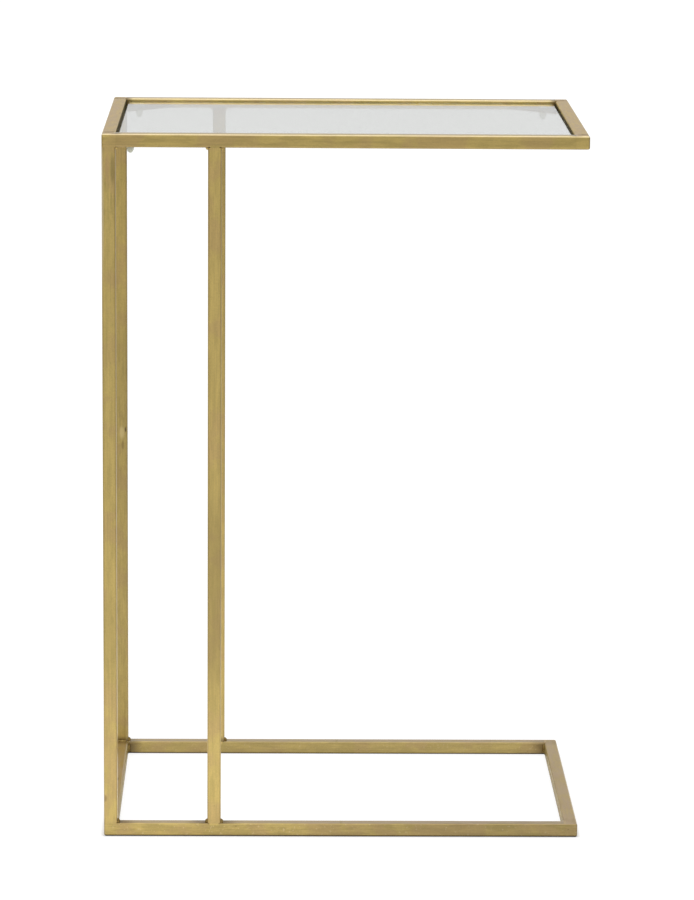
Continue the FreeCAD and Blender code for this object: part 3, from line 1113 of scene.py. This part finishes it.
@dataclass
class CornerCarriers:
    """The gussets in the top's corners, and the push-in bumpers that carry the pane.

    Attributes:
        turns: How many points there are round a bumper.
        head_radius: The radius of a bumper's head.
        stem_radius: The radius of its stem.
        plug_radius: The radius of its plug.
        tip_radius: The end of its plug.
        taper: How much of the plug narrows to its end.
        trimmed: The corner whose plug is cut off short.
        stub: How far the cut plug still stands under its gusset.
        soft: How far the corners are rounded.
        film_gap: The thin film of air between a head and the pane.
    """

    turns: int = 40
    head_radius: float = 5.0 * MILLIMETRE
    stem_radius: float = 2.4 * MILLIMETRE
    plug_radius: float = 3.4 * MILLIMETRE
    tip_radius: float = 1.3 * MILLIMETRE
    taper: float = 4.2 * MILLIMETRE
    trimmed: str = "front_right"
    stub: float = 2.5 * MILLIMETRE
    soft: float = 0.3 * MILLIMETRE
    film_gap: float = 0.02 * MILLIMETRE

    # How wide the innermost ring is of a plug's flat end and of the head's top, and how far a plug
    # has widened towards its full width before the middle of its taper.
    flat_share, dimple_share, belly = 0.4, 0.3, 0.62

    def build(self) -> None:
        """Dress the gussets and turn the bumpers."""
        plate = BrushedBrass("brass_gussets", Axis.Y, seed=2.2).material()
        vinyl = ClearVinyl("clear_vinyl").material()
        for end in INWARD:
            for side in SIDES:
                dress(f"{end}_{side}_gusset", plate)
                self._bumper(f"{end}_{side}", vinyl)

    def _bumper(self, corner: str, vinyl: bpy.types.Material) -> None:
        """Turn one bumper in the place of its CAD node.

        Args:
            corner: Which corner it is in.
            vinyl: What it is made of.
        """
        low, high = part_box(f"{corner}_bumper")
        under, over = (bound.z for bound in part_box(f"{corner}_gusset"))
        end = self._cut_end(under - self.stub) if corner == self.trimmed else self._tapered_end(low.z)
        circle = []
        for turn in range(self.turns):
            angle = 2.0 * math.pi * turn / self.turns
            circle.append(Vector((math.cos(angle), math.sin(angle), 0.0)))
        rings = []
        for radius, z in end + self._stem_and_head(under, over, high.z - self.film_gap):
            middle = Vector(((low.x + high.x) / 2, (low.y + high.y) / 2, z))
            rings.append([middle + radius * point for point in circle])
        piece = Piece(f"{corner}_push_in_bumper")
        piece.loft(rings)
        piece.finish(vinyl, "frame", f"{corner}_bumper")

    def _tapered_end(self, tip: float) -> Outline:
        """Draw half the outline of a whole plug's lower end, from its tip up."""
        soft, full = self.soft, self.plug_radius
        return [
            (self.tip_radius * self.flat_share, tip),
            (self.tip_radius, tip + soft * 0.6),
            (self.tip_radius + (full - self.tip_radius) * self.belly, tip + self.taper * 0.4),
            (full - soft * 0.6, tip + self.taper * 0.8),
            (full, tip + self.taper * 1.1),
        ]

    def _cut_end(self, cut: float) -> Outline:
        """Draw half the outline of the end of a plug that is cut off flat at a height."""
        soft, full = self.soft, self.plug_radius
        return [(full * self.flat_share, cut), (full - soft * 0.3, cut), (full, cut + soft * 0.3)]

    def _stem_and_head(self, under: float, over: float, top: float) -> Outline:
        """Draw half the outline of the rest of a bumper, with its corners rounded.

        Args:
            under: The height of the gusset's underside.
            over: The height of its upper face.
            top: The height of the head's top.

        Returns:
            Pairs of a radius and a height, upwards to the middle of the head.
        """
        soft, full, head = self.soft, self.plug_radius, self.head_radius
        return [
            (full, under - soft * 1.4),
            (full - soft, under),
            (self.stem_radius, under),
            (self.stem_radius, over),
            (head - soft, over),
            (head, over + soft),
            (head, top - soft * 1.4),
            (head - soft * 0.5, top - soft * 0.5),
            (head - soft * 1.6, top),
            (head * self.dimple_share, top),
        ]


@dataclass
class GlassTop:
    """The drop-in pane.

    Attributes:
        node: The CAD node of the pane.
    """

    node: str = "glass_top"

    def build(self) -> None:
        """Dress the pane."""
        dress(self.node, ClearGlass("clear_glass").material())


@dataclass
class Studio:
    """The floor, the room that the metal and the glass mirror, the lamp and the camera.

    Attributes:
        floor_radius: How far the floor reaches.
        floor_sunk: How far it lies under the table, so that the two share no plane.
        paint: The floor's colour.
        near_paint: How the paint darkens before and behind the table, as what the metal mirrors: a painted
            pool of light round the table.
        far_paint: How it darkens further away.
        side_paint: How it darkens at the table's sides.
        glow: How the white light that the camera sees of the floor grows away from the table.
        glow_share: How its share grows away from the base's outline, where the shadow is darkest.
        back: How bright the back of the room is for metal and glass, from below to above.
        front: How bright its front is.
        sides: How bright its left and right sides are.
        top: How bright it is overhead.
        fill: How bright the room is as a light.
        lamp_place: Where the lamp hangs.
        lamp_aim: The point that it shines on.
        lamp_size: The side of its square face.
        lamp_power: Its power, in watts.
        camera_place: Where the camera stands.
        turn: How far it is turned to the left, in degrees.
        dip: How far it looks down, in degrees.
        roll: How far it leans, in degrees.
        focal_px: Its focal length, in pixels of the picture.
    """

    floor_radius: float = 40.0
    floor_sunk: float = 0.2 * MILLIMETRE
    paint: Colour = screen_colour(249, 249, 248)
    near_paint: Change = (0.42, 0.95, 1.0, 0.70)
    far_paint: Change = (1.25, 2.75, 1.0, 0.83)
    side_paint: Change = (0.25, 1.0, 1.0, 0.70)
    glow: Change = (0.25, 1.2, 1.12, 1.30)
    glow_share: Change = (0.0, 5.0 * MILLIMETRE, 0.15, 0.75)
    back: Change = (0.14, 0.24, 0.72, 0.56)
    front: float = 0.82
    sides: Change = (-0.3, 0.3, 0.90, 0.50)
    top: float = 0.80
    fill: float = 0.95
    lamp_place: tuple[float, float, float] = (0.0, -0.3, 2.6)
    lamp_aim: tuple[float, float, float] = (0.0, -0.1, 0.0)
    lamp_size: float = 3.0
    lamp_power: float = 20.0
    camera_place: tuple[float, float, float] = (-0.06639, -3.96326, 1.12217)
    turn: float = -1.044
    dip: float = 11.103
    roll: float = -0.435
    focal_px: float = 4158.39

    # Between which parts of a direction the room goes over to its back, its sides and its top, the
    # points round the floor, and how far the camera sees.
    to_back, to_sides, to_top = (-0.6, 0.6), (0.4, 0.9), (0.35, 1.0)
    floor_points, sight = 96, 200.0

    def build(self) -> None:
        """Set the studio up."""
        self._floor()
        self._room()
        self._lamp()
        self._camera()
        bpy.context.scene.view_settings.view_transform = "Standard"

    def _floor(self) -> None:
        """Lay a round pale floor, which keeps the table's shadow."""
        sheet = bmesh.new()
        bmesh.ops.create_circle(sheet, cap_ends=True, radius=self.floor_radius, segments=self.floor_points)
        data = bpy.data.meshes.new("studio_floor")
        sheet.to_mesh(data)
        sheet.free()
        data.materials.append(self._floor_material())
        place("studio_floor", data, (0.0, 0.0, -self.floor_sunk))

    def _floor_material(self) -> bpy.types.Material:
        """Paint the floor: white to the camera but for the table's shadow, and to all else as lit over a
        painted pool of light round the table.

        Returns:
            The material.
        """
        made = bpy.data.materials.new("pale_floor")
        board = NodeBoard(made)
        point = board.add("ShaderNodeNewGeometry", {}, {}, "Position")
        away = board.add("ShaderNodeVectorMath", {"operation": "LENGTH"}, {0: point}, "Value")
        aside, ahead = abs(board.part_of(point, Axis.X)), abs(board.part_of(point, Axis.Y))
        light = {"Color": WHITE, "Strength": away.fade(*self.glow)}
        # A painted pool of light: the paint is brightest near the table and darker further off and to the
        # sides.
        level = ahead.fade(*self.near_paint) * ahead.fade(*self.far_paint) * aside.fade(*self.side_paint)
        paint = board.blend(level.larger(board.is_ray("Transmission")), BLACK, self.paint)
        low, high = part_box("base_left_rail")
        from_outline = abs((aside - abs(low.x)).larger(ahead - high.y))
        parts = {
            0: board.is_ray("Camera") * from_outline.fade(*self.glow_share),
            1: board.add("ShaderNodeBsdfDiffuse", {}, {"Color": paint}),
            2: board.add("ShaderNodeEmission", {}, light),
        }
        both = board.add("ShaderNodeMixShader", {}, parts)
        board.add("ShaderNodeOutputMaterial", {}, {"Surface": both})
        return made

    def _room(self) -> None:
        """Light the room: white to the camera, and each side at its own level for metal and glass."""
        world = bpy.data.worlds.new("studio_room")
        bpy.context.scene.world = world
        board = NodeBoard(world)
        way = board.add("ShaderNodeTexCoord", {}, {}, "Generated")
        aside, ahead, upward = (board.part_of(way, axis) for axis in Axis)
        behind = ahead.fade(*self.to_back)
        level = behind * upward.fade(*self.back) + (1.0 - behind) * self.front
        side = abs(aside).fade(*self.to_sides)
        level = level * (1.0 - side) + side * aside.fade(*self.sides)
        up = upward.fade(*self.to_top)
        level = level * (1.0 - up) + up * self.top
        seen = board.is_ray("Camera")
        mirrored = (board.is_ray("Glossy") + board.is_ray("Transmission")).smaller(1.0)
        other = (1.0 - seen - mirrored).larger(0.0)
        light = {"Color": WHITE, "Strength": seen + mirrored * level + other * self.fill}
        air = board.add("ShaderNodeBackground", {}, light)
        board.add("ShaderNodeOutputWorld", {}, {"Surface": air})

    def _lamp(self) -> None:
        """Hang one broad soft lamp above the table."""
        data = bpy.data.lights.new("lamp_above", "AREA")
        data.shape = "SQUARE"
        data.size = self.lamp_size
        data.energy = self.lamp_power
        way = Vector(self.lamp_aim) - Vector(self.lamp_place)
        made = place("lamp_above", data, self.lamp_place)
        made.rotation_mode = "QUATERNION"
        made.rotation_quaternion = way.to_track_quat("-Z", "Y")

    def _camera(self) -> None:
        """Set the camera up."""
        turn, dip, roll = (math.radians(angle) for angle in (self.turn, self.dip, self.roll))
        level_right = Vector((math.cos(turn), math.sin(turn), 0.0))
        level_ahead = Vector((-math.sin(turn), math.cos(turn), 0.0))
        ahead = level_ahead * math.cos(dip) - Axis.Z.unit() * math.sin(dip)
        over = level_ahead * math.sin(dip) + Axis.Z.unit() * math.cos(dip)
        right = level_right * math.cos(roll) - over * math.sin(roll)
        up = level_right * math.sin(roll) + over * math.cos(roll)
        data = bpy.data.cameras.new("studio_camera")
        data.sensor_fit = "HORIZONTAL"
        data.sensor_width = SENSOR_WIDTH
        data.lens = self.focal_px / IMAGE_WIDTH_PX * SENSOR_WIDTH
        data.clip_end = self.sight
        made = place("studio_camera", data, self.camera_place)
        made.rotation_mode = "QUATERNION"
        made.rotation_quaternion = Matrix((right, up, -ahead)).transposed().to_quaternion()
        bpy.context.scene.camera = made


def main() -> None:
    """Build the table's sub-assemblies in order, and the studio round them."""
    logging.basicConfig(level=logging.INFO, format="%(name)s: %(message)s")
    for assembly in (TubeFrame(), WeldWork(), CornerCarriers(), GlassTop(), Studio()):
        assembly.build()
        log.info("%s is ready", type(assembly).__name__)


if __name__ == "__main__":
    main()
